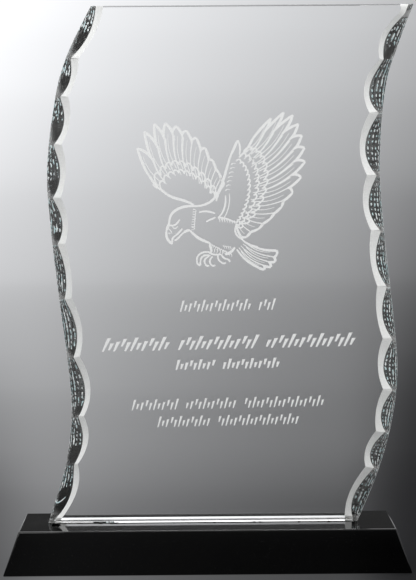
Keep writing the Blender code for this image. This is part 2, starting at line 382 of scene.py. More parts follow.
def makeFilm():  # tan with old adhesive towards the right end
    material, tree, shader = newMaterial("adhesive")
    place, (x, _, _) = objectPlace(tree)
    stain = noise(tree, place, filmFinish["stains"]).rises(*filmFinish["stainTurn"])
    colour = mixColours(tree, x.rises(*filmFinish["tanEnd"]) * stain, filmFinish["colour"], filmFinish["tan"])
    setShader(tree, shader, {"Base Color": colour, "Roughness": filmFinish["roughness"]})
    return material


clearGlass = makeClearGlass("clear_glass", glassFinish)[0]
chipGlass = makeChippedGlass()
groundEdge = makeGroundEdge()
frostedEtch = makeEtch()
blackGlass = makeBlackGlass()
adhesive = makeFilm()
print("finishes made")

# The plate. Edge points and chips follow the solid. The edges are in shares of the plate's height, as height
# and reach from the foot, and the chips are in metres, as length and bite, from the foot up.
plate = {
    "leftEdge": ((0, 0), (0.117, 0.0365), (0.235, 0.0485), (0.45, 0.0262), (0.58, 0.0127),
                 (0.69, 0.0076), (0.83, 0.0258), (0.905, 0.0478), (1, 0.0950)),
    "rightEdge": ((0, 0), (0.10, 0.0403), (0.20, 0.0671), (0.30, 0.0771), (0.42, 0.0675),
                  (0.55, 0.0527), (0.70, 0.0430), (0.85, 0.0554), (0.93, 0.0802), (1, 0.1071)),
    "leftChips": ((0.0321, 0.0073), (0.0276, 0.0070), (0.0343, 0.0076), (0.0334, 0.0068), (0.0309, 0.0048),
                  (0.0260, 0.0062), (0.0298, 0.0068), (0.0269, 0.0065), (0.0215, 0.0056), (0.0284, 0.0062)),
    "rightChips": ((0.0293, 0.0068), (0.0206, 0.0065), (0.0239, 0.0057), (0.0290, 0.0070), (0.0299, 0.0054),
                   (0.0315, 0.0054), (0.0313, 0.0066), (0.0351, 0.0076), (0.0299, 0.0082), (0.0237, 0.0073),
                   (0.0063, 0.0020)),
    "stations": 960, "wallRows": 36, "flareRows": 4, "sharpAngle": 28.0,
    # how far each ridge between two chips is worn in, from the foot up
    "leftRidges": (0.0026, 0.0044, 0.0034, 0.0030, 0.0026, 0.0024, 0.0022, 0.0022, 0.0022, 0.0022, 0.0026),
    "rightRidges": (0.0020, 0.0018, 0.0014, 0.0013, 0.0013, 0.0013, 0.0013, 0.0013, 0.0015, 0.0044, 0.0028,
                    0.0020),
    "scoopRise": 1.0, "scoopFall": 1.2, "wallCurve": 1.6,
    "flareSlope": 1.18, "flareRun": 0.0030, "ridgeFlare": 0.0064, "leanLimit": 2.2,
    "footRise": 0.0011, "footFront": 0.0005, "footBack": 0.0011, "topChamfer": 0.0001,
}


def smoothRun(points, shares):
    x, y = np.array(points, float).T
    slope = np.gradient(y, x)
    slope[1:-1] = (y[2:] - y[:-2]) / (x[2:] - x[:-2])
    low = np.clip(np.searchsorted(x, shares) - 1, 0, len(x) - 2)
    step = x[low + 1] - x[low]
    t = (shares - x[low]) / step
    return (y[low] * (1 + 2 * t) * (1 - t) ** 2 + y[low + 1] * t * t * (3 - 2 * t)
            + step * t * (1 - t) * (slope[low] * (1 - t) - slope[low + 1] * t))


def chipStarts(chips):
    lengths = np.array([length for length, _ in chips])
    return np.concatenate(([0.0], np.cumsum(lengths))) * plateHeight / lengths.sum()


def stationHeights():
    heights = np.linspace(plate["footRise"], plateHeight - plate["topChamfer"], plate["stations"])
    for chips in (plate["leftChips"], plate["rightChips"]):
        for ridge in chipStarts(chips)[1:-1]:
            heights[np.argmin(abs(heights - ridge))] = ridge
    return heights


def skewedSwell(share, rise, fall):  # 0 at both ends of a chip and 1 at its widest
    peak = rise / (rise + fall)
    share = np.clip(share, 0.0, 1.0)
    return (share / peak) ** rise * ((1 - share) / (1 - peak)) ** fall


def chipRows(chips, ridges, edge, heights):
    # inset and depth of every row at every height, and how far across and along its chip each point lies:
    # across goes from 0 at the front edge to 1 at the end of the scoop, and on to 2 over the flare
    starts = chipStarts(chips)
    number = np.clip(np.searchsorted(starts, heights, side="right") - 1, 0, len(chips) - 1)
    share = (heights - starts[number]) / (starts[number + 1] - starts[number])
    bite = np.array([bite for _, bite in chips])[number]
    swell = 4 * share * (1 - share)
    ridges = np.array(ridges)
    ridge = ridges[number] * (1 - share) + ridges[number + 1] * share
    scoop = ridge + (bite - ridge) * skewedSwell(share, plate["scoopRise"], plate["scoopFall"])
    flare = plate["ridgeFlare"] + (bite + plate["flareRun"] - plate["ridgeFlare"]) * swell
    flare = np.maximum(flare, scoop + plate["flareRun"] / 2)
    # where the scoop meets the flare, which lies flatter where the edge leans
    lean = np.clip(np.gradient(edge + (scoop + flare) / 2, heights), -plate["leanLimit"], plate["leanLimit"])
    depth = plateThickness - (flare - scoop) / (plate["flareSlope"] * np.sqrt(1 + lean * lean))
    across = np.linspace(0, 1, plate["wallRows"] + 1)[None, :]
    inset = scoop[:, None] * across ** plate["wallCurve"]
    back = depth[:, None] * across
    out = np.linspace(0, 1, plate["flareRows"] + 1)[None, 1:]
    inset = np.hstack([inset, scoop[:, None] + (flare - scoop)[:, None] * out])
    back = np.hstack([back, depth[:, None] + (plateThickness - depth)[:, None] * out])
    across = np.repeat(np.hstack([across, 1 + out]), len(heights), axis=0)
    return inset, back, across, share, number


def plateMesh():
    heights = stationHeights()
    inner = len(heights)
    heights = np.concatenate(([0.0], heights, [plateHeight]))
    near, far = np.zeros((2, inner + 2, 1))  # how far the foot and the top are cut back, in front and behind
    near[0], far[0] = plate["footFront"], plate["footBack"]
    near[-1] = far[-1] = plate["topChamfer"]
    shares = heights / plateHeight
    left = plateFootLeft + smoothRun(plate["leftEdge"], shares) * plateHeight
    right = plateFootRight + smoothRun(plate["rightEdge"], shares) * plateHeight
    rows, labels = [], []
    # first is the number of the lowest chip
    for name, edge, side, first in (("right", right, -1, 20), ("left", left, 1, 0)):
        inset, back, across, share, number = chipRows(
            plate[name + "Chips"], plate[name + "Ridges"], side * edge, heights)
        depth = near + back * (1 - (near + far) / plateThickness)
        x = edge[:, None] + side * inset
        calm, wild = (np.array(ripples[name + kind])[number] for kind in ("Calm", "Wild"))
        level, *spread = (np.repeat(values[:, None], x.shape[1], 1)
                          for values in (heights, share, number + first, calm, wild))
        points = np.stack([x, plateLow.y + depth, plateLow.z + level], -1)
        label = np.stack([across, *spread], -1)
        rows.append(points if side < 0 else points[:, ::-1])
        labels.append(label if side < 0 else label[:, ::-1])
    points = np.hstack(rows)
    label = np.hstack(labels)
    count = points.shape[1]
    half = count // 2
    quads = []
    for station in range(len(heights) - 1):
        low, high = station * count, (station + 1) * count
        for index in list(range(half - 1)) + list(range(half, count - 1)):
            quads.append((low + index, low + index + 1, high + index + 1, high + index))
    last = (len(heights) - 1) * count
    columns = [np.arange(len(heights)) * count + offset for offset in (0, half - 1, half, count - 1)]
    frontRight, backRight, backLeft, frontLeft = [column[1:-1].tolist() for column in columns]
    flats = [frontLeft[::-1] + frontRight, backRight[::-1] + backLeft]
    ends = [list(range(count))[::-1], list(range(last, last + count))]
    # the chamfers of the foot and the top join the flat faces
    chamfers = [(frontLeft[0], count - 1, 0, frontRight[0]), (backRight[0], half - 1, half, backLeft[0]),
                (frontRight[-1], last, last + count - 1, frontLeft[-1]),
                (backLeft[-1], last + half, last + half - 1, backRight[-1])]
    mesh = bpy.data.meshes.new("glass_plate_clear")
    mesh.from_pydata(points.reshape(-1, 3).tolist(), [], quads + flats + ends + chamfers)
    for name, values in zip(("across", "along", "chip", "calm", "wild"), label.reshape(-1, 5).T):
        mesh.attributes.new(name, "FLOAT", "POINT").data.foreach_set("value", values.astype(np.float32))
    mesh.update()
    return mesh


# Ripples that run along each chip's scoop, broken into short dashes, and a painted glint mask drawn from
# them. From the foot up, calm is the share of each chip that stays almost smooth, and wild is how far its
# ripples give way to an uneven, glinting break, whose glints are painted.
# Starts and ends are in shares of the way across or along a chip.
ripples = {
    "rows": 4.8, "height": 0.00021, "dash": 0.090, "speckle": 0.20,
    "noises": ((150.0, 2.0), (460.0, 1.0), (900.0, 0.0)),  # slow, rough and fine
    "sway": 0.5, "dashSway": 4.0, "dashShift": 2.4, "parting": (0.20, 0.35), "partingShift": 0.37,
    "evenRough": 0.5, "wildRough": 5.5, "wildRows": 0.5, "rim": 0.35, "rimEnd": (0.20, 0.50),
    "asleep": 0.10, "wake": 0.06, "speckleGain": 4.0,
    "wallStart": (0.02, 0.12), "wallEnd": (0.93, 1.0), "chipStart": (0.0, 0.04), "chipEnd": (0.96, 1.0),
    "speckleGlint": 1.2, "frontGlint": 0.5, "glintMiddle": 0.3,
    # a painted aqua glint, a crescent in the calm part of the lowest left chip
    "crescent": {"along": 0.35, "across": 0.4, "curve": 0.55, "half": 0.022, "calm": (0.58, 0.61),
                 "ends": (0.75, 0.88), "paintedGlint": 1.1},
    "leftCalm": (0.62, 0.42, 0.15, 0.15, 0.10, 0.25, 0.35, 0.48, 0.55, 0.50),
    "leftWild": (0.30, 0.50, 0.35, 0.35, 0.45, 0.70, 0.80, 0.85, 0.85, 0.85),
    "rightCalm": (0.10, 0.10, 0.05, 0.05, 0.05, 0.05, 0.05, 0.05, 0.05, 0.30, 0.50),
    "rightWild": (0.55, 0.40, 0.25, 0.25, 0.20, 0.20, 0.15, 0.15, 0.15, 0.60, 0.30),
}


def crescentShare(across, along, calm):
    mark = ripples["crescent"]
    aside = across - mark["across"]
    off = abs(along - mark["along"] - mark["curve"] * aside * aside)
    bright = (1.0 - off / mark["half"]).clamp()
    return bright * calm.rises(*mark["calm"]) * (1.0 - across.rises(*mark["ends"]))


def rippleTree():
    tree = Tree("chip_ripples", {"Rows": 4.0, "Height": 0.0001, "Dash Length": 0.1, "Speckle": 0.1}, None)
    across, along, chip, calm, wild = (
        tree.attribute(label) for label in ("across", "along", "chip", "calm", "wild"))
    place = tree.add("GeometryNodeInputPosition")
    slow, rough, fine = (tree.add("ShaderNodeTexNoise", {"noise_dimensions": "3D"},
                                  {"Vector": place, "Scale": scale, "Detail": detail}) - 0.5
                         for scale, detail in ripples["noises"])
    turn = 2 * math.pi
    row = across * tree.input("Rows") + ripples["sway"] * slow
    least, more = ripples["parting"]
    broken = least + more * (chip * ripples["partingShift"]).modulo(1.0)  # how far this chip's dashes part
    dash = (along / tree.input("Dash Length") * turn + chip * ripples["dashShift"]
            + ripples["dashSway"] * slow).sine()
    even = (row * turn).sine() * (1.0 - broken + broken * dash) + ripples["evenRough"] * rough
    uneven = ripples["wildRough"] * rough + ripples["wildRows"] * (row * turn).sine()
    rim = (row * turn * 2.0).sine() * (1.0 - across.rises(*ripples["rimEnd"]))  # closer lines by the front
    wave = even * (1.0 - wild) + uneven * wild + ripples["rim"] * rim
    awake = ripples["asleep"] + (1.0 - ripples["asleep"]) * along.rises(calm - ripples["wake"],
                                                                        calm + ripples["wake"])
    wave = wave * awake
    onWall = across.rises(*ripples["wallStart"]) * (1.0 - across.rises(*ripples["wallEnd"]))
    inChip = along.rises(*ripples["chipStart"]) * (1.0 - along.rises(*ripples["chipEnd"]))
    speckle = tree.input("Speckle") * fine * ripples["speckleGain"]
    height = (wave + speckle) * onWall * inChip * tree.input("Height")
    # the painted glint mask: ripples, speckle and the crescent, painted lighter towards the chip's front edge
    paintedGlint = (wave + ripples["speckleGlint"] * fine + ripples["frontGlint"] * (ripples["glintMiddle"] - across)
             + ripples["crescent"]["paintedGlint"] * crescentShare(across, along, calm))
    kept = tree.add("GeometryNodeStoreNamedAttribute", {"data_type": "FLOAT", "domain": "POINT"},
                    {"Geometry": tree.input("Geometry"), "Name": "paintedGlint", "Value": paintedGlint})
    normal = tree.add("GeometryNodeInputNormal")
    offset = tree.add("ShaderNodeVectorMath", {"operation": "SCALE"}, {"Vector": normal, "Scale": height})
    tree.finish(tree.add("GeometryNodeSetPosition", None, {"Geometry": kept, "Offset": offset}))
    return tree


def makePlate():
    source = addObject("plate_source", plateMesh())
    for material in (clearGlass, groundEdge, chipGlass):
        source.data.materials.append(material)
    values = {"Rows": ripples["rows"], "Height": ripples["height"], "Dash Length": ripples["dash"],
              "Speckle": ripples["speckle"]}
    piece = grow(rippleTree(), source, "clear_plate", values)
    piece.data.set_sharp_from_angle(angle=math.radians(plate["sharpAngle"]))
    across = [item.value for item in piece.data.attributes["across"].data]
    for face in piece.data.polygons:  # the broad faces, the ends and the chamfers are flat and clear
        normal = face.normal
        face.use_smooth = abs(normal.y) < 0.999 and abs(normal.x) > 0.02
        if face.use_smooth:
            face.material_index = 1 if min(across[vert] for vert in face.vertices) > 0.99 else 2
    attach(piece, "root")
    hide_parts("glass_plate")
    print("plate made:", sum(len(face.vertices) - 2 for face in piece.data.polygons), "triangles")


makePlate()

# The base: the same block as the solid, with rounded arrises
base = {"arris": 0.0007, "arrisSegments": 3, "lean": 0.0091,
        "endCut": 0.000145}  # the solid's arris takes this off each end of the underside


def makeBase():
    ends = Vector((base["endCut"], 0.0, 0.0))
    bm = boxBetween(baseLow - ends, baseHigh + ends)
    for vert in bm.verts:
        if vert.co.z > baseHigh.z / 2:
            vert.co.x -= math.copysign(base["lean"], vert.co.x)
    bmesh.ops.bevel(bm, geom=list(bm.edges), offset=base["arris"], segments=base["arrisSegments"],
                    profile=0.5, affect="EDGES")
    mesh = takeMesh("base_block", bm)
    mesh.shade_smooth()
    for face in mesh.polygons:  # only the arrises are rounded
        face.use_smooth = face.area < 1e-4
    mesh.materials.append(blackGlass)
    piece = addObject("base_block", mesh)
    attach(piece, "root")
    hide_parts("black_base")
    print("base made")


makeBase()

# The engraving. The unit is the bird's span; paths lie in x and z from the bird's middle.
artwork = {"span": 0.100, "birdLevel": 0.644, "shift": 0.139, "tilt": math.radians(0.9),
           "proud": 0.00003, "sunk": 0.000006, "stagger": 0.000001}
leftWing = {"roots": ((-0.34, 0.00), (-0.31, 0.13), (-0.19, 0.12), (-0.055, -0.055)),
            "tips": ((-0.50, 0.19), (-0.43, 0.52), (-0.17, 0.44), (-0.005, 0.05)),
            "feathers": 11, "crowding": 1.45, "bend": 0.06, "notch": (0.50, 0.12), "primaries": 5,
            "coverts": 2}
rightWing = {"roots": ((0.075, 0.185), (0.18, 0.16), (0.17, -0.06), (0.055, -0.175)),
             "tips": ((0.22, 0.37), (0.50, 0.62), (0.60, -0.03), (0.085, -0.265)),
             "feathers": 13, "crowding": 1.25, "bend": -0.06, "notch": (0.44, 0.12), "primaries": 7,
             "coverts": 3}
tail = {"roots": ((0.050, -0.318), (0.065, -0.305), (0.080, -0.295), (0.095, -0.280)),
        "tips": ((0.190, -0.440), (0.235, -0.440), (0.285, -0.395), (0.290, -0.340)),
        "feathers": 4, "crowding": 1.0, "bend": -0.08, "notch": (0.10, 0.10), "primaries": 0,
        "coverts": 0}
lines = {"bold": 0.0150, "middle": 0.0105, "fine": 0.0060}
# A feather's shoulder and point are in shares of its notched length and of its width
feather = {"ragged": 0.035, "raggedBeat": 2.6, "notchFall": 1.6, "head": 0.05, "aside": 0.14, "parting": 1.2,
           "shoulder": (0.40, 0.08), "point": (0.22, 0.20), "quill": (0.16, 0.80), "quillBend": 1.3}
covert = {"first": 0.22, "step": 0.15, "long": 0.95, "weight": 0.9}
ticks = {"bend": 0.2, "weight": 1.1}
bodyLines = (
    ("bold", ((-0.318, -0.165), (-0.318, -0.095), (-0.245, -0.068), (-0.165, -0.076))),
    ("bold", ((-0.165, -0.076), (-0.020, -0.075), (-0.015, 0.080), (0.035, 0.205))),
    ("bold", ((0.035, 0.205), (0.050, 0.235), (0.062, 0.262), (0.075, 0.285))),
    ("middle", ((0.075, 0.285), (0.088, 0.262), (0.090, 0.232), (0.082, 0.205))),
    ("bold", ((-0.318, -0.165), (-0.322, -0.182), (-0.331, -0.194), (-0.334, -0.208))),
    ("bold", ((-0.334, -0.208), (-0.342, -0.246), (-0.326, -0.272), (-0.303, -0.284))),
    ("middle", ((-0.303, -0.284), (-0.308, -0.262), (-0.302, -0.246), (-0.284, -0.238))),
    ("middle", ((-0.284, -0.238), (-0.270, -0.228), (-0.260, -0.216), (-0.246, -0.200))),
    ("middle", ((-0.292, -0.264), (-0.278, -0.266), (-0.264, -0.244), (-0.238, -0.222))),
    ("bold", ((-0.238, -0.222), (-0.226, -0.214), (-0.216, -0.208), (-0.202, -0.212))),
    ("bold", ((-0.202, -0.212), (-0.170, -0.252), (-0.138, -0.268), (-0.092, -0.285))),
    ("bold", ((-0.180, -0.070), (-0.230, -0.030), (-0.310, -0.040), (-0.352, 0.018))),
    ("middle", ((-0.352, 0.018), (-0.372, 0.030), (-0.392, 0.034), (-0.405, 0.050))),
    ("middle", ((-0.320, -0.176), (-0.300, -0.190), (-0.278, -0.180), (-0.260, -0.150))),
    ("fine", ((-0.300, -0.190), (-0.292, -0.202), (-0.278, -0.200), (-0.272, -0.186))),
    ("fine", ((-0.331, -0.196), (-0.318, -0.200), (-0.308, -0.212), (-0.304, -0.226))),
    ("fine", ((-0.324, -0.222), (-0.320, -0.226), (-0.316, -0.226), (-0.313, -0.222))),
    ("bold", ((0.046, -0.312), (0.028, -0.338), (0.010, -0.348), (-0.008, -0.350))),
    ("bold", ((-0.092, -0.285), (-0.096, -0.300), (-0.082, -0.318), (-0.088, -0.338))),
    ("middle", ((0.000, -0.020), (0.004, -0.080), (-0.016, -0.120), (-0.045, -0.145))),
    ("fine", ((0.022, -0.010), (0.026, -0.080), (0.004, -0.130), (-0.020, -0.155))),
    ("middle", ((-0.150, -0.112), (-0.120, -0.100), (-0.085, -0.108), (-0.060, -0.120))),
    ("middle", ((-0.110, -0.165), (-0.090, -0.150), (-0.075, -0.152), (-0.060, -0.140))),
    ("middle", ((-0.045, -0.145), (-0.020, -0.142), (0.010, -0.150), (0.050, -0.172))),
    ("middle", ((0.060, -0.180), (0.040, -0.215), (0.050, -0.250), (0.088, -0.268))),
    ("middle", ((0.088, -0.268), (0.105, -0.290), (0.130, -0.302), (0.175, -0.312))),
)
talons = (((-0.088, -0.338), (-0.140, -0.322), (-0.175, -0.352), (-0.168, -0.388)),
          ((-0.168, -0.388), (-0.166, -0.402), (-0.158, -0.408), (-0.148, -0.408)),
          ((-0.092, -0.356), (-0.125, -0.344), (-0.148, -0.362), (-0.148, -0.384)),
          ((-0.148, -0.384), (-0.150, -0.394), (-0.150, -0.400), (-0.148, -0.408)),
          ((-0.100, -0.360), (-0.122, -0.366), (-0.132, -0.384), (-0.122, -0.402)),
          ((-0.122, -0.402), (-0.116, -0.414), (-0.106, -0.414), (-0.100, -0.410)),
          ((-0.080, -0.360), (-0.096, -0.374), (-0.100, -0.390), (-0.092, -0.402)),
          ((-0.092, -0.402), (-0.084, -0.416), (-0.074, -0.414), (-0.066, -0.410)),
          ((-0.050, -0.352), (-0.052, -0.372), (-0.046, -0.386), (-0.034, -0.392)),
          ((-0.034, -0.392), (-0.022, -0.404), (-0.012, -0.402), (-0.006, -0.396)),
          ((-0.030, -0.350), (-0.024, -0.366), (-0.014, -0.376), (0.002, -0.376)),
          ((0.002, -0.376), (0.012, -0.382), (0.016, -0.388), (0.016, -0.394)),
          ((-0.100, -0.338), (-0.075, -0.354), (-0.055, -0.350), (-0.030, -0.350)))
tickRows = (  # short feather marks: the first one, the step to the next, its own run, how many
    ((-0.184, -0.094), (-0.0015, -0.0140), (0.018, -0.008), 8),
    ((-0.166, -0.102), (-0.0015, -0.0140), (-0.019, -0.006), 8),
    ((-0.086, -0.292), (0.013, -0.0065), (0.010, -0.022), 9),
    ((-0.070, -0.318), (0.016, -0.0030), (-0.004, -0.022), 5),
    ((-0.020, -0.300), (0.012, -0.0020), (0.008, -0.018), 4),
    ((0.035, 0.150), (-0.006, -0.0240), (0.026, 0.006), 7),
    ((-0.040, -0.150), (0.014, -0.0020), (0.004, -0.018), 7),
)


def onCurve(controls, share):
    first, leave, arrive, last = (Vector(control) for control in controls)
    rest = 1 - share
    return (first * rest ** 3 + leave * 3 * rest * rest * share
            + arrive * 3 * rest * share * share + last * share ** 3)


def curvePath(controls, count):
    return [onCurve(controls, step / count) for step in range(count + 1)]


def bowPath(start, end, bend, count=8):
    side = Vector((-(end - start).y, (end - start).x)) * bend
    return [start.lerp(end, step / count) + side * math.sin(math.pi * step / count)
            for step in range(count + 1)]


def crowdedShares(fan, steps):
    return [1 - (1 - index / steps) ** fan["crowding"] for index in range(steps + 1)]


def fanStrokes(fan):
    # every feather has a rounded outline with its tip drawn out, a quill and a parting to the next one
    fine = fan["feathers"] * 2
    shares = crowdedShares(fan, fine)
    roots = [onCurve(fan["roots"], share) for share in shares]
    tips = [onCurve(fan["tips"], share) for share in shares]
    outer, inner = fan["notch"]
    deeps = [inner + (outer - inner) * (1 - share) ** feather["notchFall"] for share in shares]
    lengths = [1.0 + feather["ragged"] * math.sin(feather["raggedBeat"] * index) for index in range(fine + 1)]
    tips = [root.lerp(tip, length) for root, tip, length in zip(roots, tips, lengths)]
    notches = [tip.lerp(root, deep) for root, tip, deep in zip(roots, tips, deeps)]
    strokes = []
    for index in range(0, fine + 1, 2):
        edge = index in (0, fine)
        width = lines["bold"] if edge else lines["fine"] * feather["parting"]
        head = roots[index].lerp(notches[index], feather["head"])
        strokes.append((bowPath(head, notches[index], fan["bend"]), width, "thicken"))
        if 0 < index <= fan["primaries"] * 2:
            aside = notches[index] + (notches[index + 1] - notches[index - 1]) * feather["aside"]
            strokes.append((bowPath(head, aside, fan["bend"]), lines["fine"], "thicken"))
    shoulder, shoulderOut = feather["shoulder"]
    point, pointOut = feather["point"]
    for index in range(1, fine, 2):
        along = (tips[index] - roots[index]) * deeps[index]
        for side, other in ((index - 1, index + 1), (index + 1, index - 1)):
            away = notches[side] - notches[other]
            controls = (notches[side], notches[side] + along * shoulder + away * shoulderOut,
                        tips[index] - along * point + away * pointOut, tips[index])
            strokes.append((curvePath(controls, 8), lines["bold"], "even"))
        start, end = [roots[index].lerp(tips[index], share) for share in feather["quill"]]
        strokes.append((bowPath(start, end, fan["bend"] * feather["quillBend"]), lines["fine"], "fade"))
    return strokes


def covertStrokes(wing, rank):
    # short rounded feathers in ranks over the roots of the long ones
    shares = crowdedShares(wing, wing["feathers"] + rank)
    inward = covert["first"] - covert["step"] * rank
    roots = [onCurve(wing["roots"], share) for share in shares]
    tips = [onCurve(wing["tips"], share) for share in shares]
    row = [root.lerp(tip, inward) for root, tip in zip(roots, tips)]
    strokes = []
    for index, (start, end) in enumerate(zip(row, row[1:])):
        outward = (tips[index] - roots[index]).normalized() * (end - start).length * covert["long"]
        controls = (start, start + outward, end + outward, end)
        strokes.append((curvePath(controls, 8), lines["middle"] * covert["weight"], "even"))
    return strokes


def birdStrokes():
    strokes = fanStrokes(leftWing) + fanStrokes(rightWing) + fanStrokes(tail)
    for wing in (leftWing, rightWing):
        for rank in range(wing["coverts"]):
            strokes += covertStrokes(wing, rank)
    strokes += [(curvePath(controls, 14), lines[weight], "even") for weight, controls in bodyLines]
    strokes += [(curvePath(controls, 8), lines["middle"], "even") for controls in talons]
    for start, step, run, count in tickRows:
        for index in range(count):
            head = Vector(start) + Vector(step) * index
            tick = bowPath(head, head + Vector(run), ticks["bend"], 4)
            strokes.append((tick, lines["fine"] * ticks["weight"], "fade"))
    return strokes


strokeShapes = {
    "even": lambda share: 0.60 + 0.40 * math.sin(math.pi * min(max(share, 0.03), 0.97)) ** 0.5,
    "fade": lambda share: 1.0 - 0.6 * share,
    "thicken": lambda share: 0.6 + 0.4 * share,
}


def artPlace(level):
    middle = Vector(((plateFootLeft + plateFootRight) / 2 + artwork["shift"] * artwork["span"],
                     0.0, plateLow.z + level * plateHeight))
    return Matrix.Translation(middle) @ Matrix.Rotation(-artwork["tilt"], 4, "Y")


def strokeTree():
    # a flat strip along every path, as wide as the path's radius says; its face lies at the path's own depth
    tree = Tree("etched_strokes", {"Sunk": 0.00001}, frostedEtch)
    paths = tree.add("GeometryNodeSetCurveNormal", {"mode": "FREE"},
                     {"Curve": tree.input("Geometry"), "Normal": (0.0, -1.0, 0.0)})
    paths = tree.add("GeometryNodeStoreNamedAttribute", {"data_type": "FLOAT", "domain": "POINT"},
                     {"Geometry": paths, "Name": "depth", "Value": tree.place()[1]})
    strip = tree.add("GeometryNodeCurvePrimitiveQuadrilateral", {"mode": "RECTANGLE"},
                     {"Width": 1.0, "Height": 1.0})
    width = tree.add("GeometryNodeInputRadius")
    swept = tree.add("GeometryNodeCurveToMesh", None, {"Curve": paths, "Profile Curve": strip, "Scale": width,
                                                      "Fill Caps": True})
    x, y, z = tree.place()
    depth = tree.attribute("depth")
    behind = y.above(depth)
    level = depth * (1.0 - behind) + (plateLow.y + tree.input("Sunk")) * behind
    pressed = tree.vector({"X": x, "Y": level, "Z": z})
    moved = tree.add("GeometryNodeSetPosition", None, {"Geometry": swept, "Position": pressed})
    tree.finish(tree.shade(moved, False))
    return tree


def makeBird():
    curve = bpy.data.curves.new("bird_paths", "CURVE")
    curve.dimensions = "3D"
    place = artPlace(artwork["birdLevel"]) @ Matrix.Scale(artwork["span"], 4)
    for number, (points, width, shape) in enumerate(birdStrokes()):
        # no two strokes that cross are in one plane
        depth = plateLow.y - artwork["proud"] - artwork["stagger"] * (number * 7 % 37)
        spline = curve.splines.new("POLY")
        spline.points.add(len(points) - 1)
        for index, (point, target) in enumerate(zip(points, spline.points)):
            share = index / (len(points) - 1)
            spot = place @ Vector((point.x, 0.0, point.y))
            target.co = (spot.x, depth, spot.z, 1.0)
            target.radius = width * artwork["span"] * strokeShapes[shape](share)
    piece = grow(strokeTree(), addObject("bird_paths", curve), "etched_bird", {"Sunk": artwork["sunk"]})
    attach(piece, "root")
    print("bird made:", len(piece.data.polygons), "faces")


makeBird()

# Five rows of leaning wedges: level, height, width and stroke in spans, lean and strokes in each group
rows = (
    {"level": 0.414, "tall": 0.064, "width": 0.537, "stroke": 0.0125, "lean": 0.30, "groups": (17, 4)},
    {"level": 0.340, "tall": 0.076, "width": 1.423, "stroke": 0.0205, "lean": 0.50, "groups": (12, 14, 16)},
    {"level": 0.301, "tall": 0.057, "width": 0.591, "stroke": 0.0165, "lean": 0.30, "groups": (9, 13)},
    {"level": 0.224, "tall": 0.060, "width": 1.091, "stroke": 0.0125, "lean": 0.30, "groups": (11, 12, 19)},
    {"level": 0.190, "tall": 0.060, "width": 0.802, "stroke": 0.0125, "lean": 0.30, "groups": (13, 20)},
)
# In each beat of five wedges, how far a foot is raised and a head lowered, in shares of the row's height
wedge = {"sides": 8, "head": 0.50, "foot": 0.27, "groupSpace": 1.6, "beat": 5.0,
         "raised": {1.0: 0.10, 3.0: 0.36}, "lowered": {1.0: 0.40, 2.0: 0.28, 3.0: 0.08, 4.0: 0.34}}


def wedgeTree():
    # a line of wedges whose feet and heads change from one to the next
    tree = Tree("wedge_row", {"Count": 10, "Pitch": 0.003, "First": 0, "Start": 0.0, "Tall": 0.006,
                              "Stroke": 0.001, "Depth": 0.00005}, frostedEtch)
    index = tree.add("GeometryNodeInputIndex")
    beat = (index + tree.input("First")).modulo(wedge["beat"])
    turns = {turn: 1.0 - abs(beat - turn).clamp() for turn in wedge["lowered"]}
    low = sum(share * turns[turn] for turn, share in wedge["raised"].items())
    high = 1.0 - sum(share * turns[turn] for turn, share in wedge["lowered"].items())
    tall = tree.input("Tall")
    foot = tree.vector({"X": tree.input("Start") + index * tree.input("Pitch"), "Z": low * tall})
    cone = tree.add("GeometryNodeMeshCone", None, {"Vertices": wedge["sides"], "Radius Top": wedge["head"],
                                                   "Radius Bottom": wedge["foot"], "Depth": 1.0})
    size = tree.vector({"X": tree.input("Stroke"), "Y": tree.input("Depth"), "Z": (high - low) * tall})
    tree.finish(tree.shade(tree.scatter(foot, cone, size), False))
    return tree


def makeRows():
    tree = wedgeTree()
    span = artwork["span"]
    pieces = []
    for row in rows:
        slots = sum(row["groups"]) + wedge["groupSpace"] * (len(row["groups"]) - 1)
        pitch = row["width"] / slots * span
        start, first = (pitch - row["width"] * span) / 2, 0
        for count in row["groups"]:
            values = {"Count": count, "Pitch": pitch, "First": first, "Start": start,
                      "Tall": row["tall"] * span, "Stroke": row["stroke"] * span,
                      "Depth": artwork["proud"] * 2}
            source = addObject("row_source", bpy.data.meshes.new("row_source"))
            group = grow(tree, source, "row_group", values)
            shear = Matrix.Identity(4)
            shear[0][2] = row["lean"]
            group.data.transform(Matrix.Translation((0.0, plateLow.y, 0.0)) @ artPlace(row["level"]) @ shear)
            pieces.append(group)
            start += (count + wedge["groupSpace"]) * pitch
            first += count
    piece = joinPieces("etched_rows", pieces)
    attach(piece, "root")
    print("rows made:", len(piece.data.polygons), "faces")


makeRows()

# The clear adhesive under the foot, which wets the glass, with a few beads squeezed out along it
film = {"inset": 0.0012, "endInset": 0.004, "into": 0.00003, "bevel": 0.00006,
        "beads": 9, "beadSize": 0.0011, "beadDeep": 0.5, "beadTall": 0.3, "beadEnds": 0.01, "seed": 4,
        "beadInset": 0.0004, "beadRise": 0.0002}


def makeFilmPiece():
    low = Vector((plateFootLeft + film["endInset"], plateLow.y + film["inset"], baseHigh.z - film["into"]))
    high = Vector((plateFootRight - film["endInset"], plateHigh.y - film["inset"], plateLow.z + film["into"]))
    bm = boxBetween(low, high)
    bmesh.ops.bevel(bm, geom=list(bm.edges), offset=film["bevel"], segments=1, affect="EDGES")
    mesh = takeMesh("adhesive_film", bm)
    mesh.materials.append(adhesive)
    piece = addObject("adhesive_film", mesh)
    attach(piece, "root")


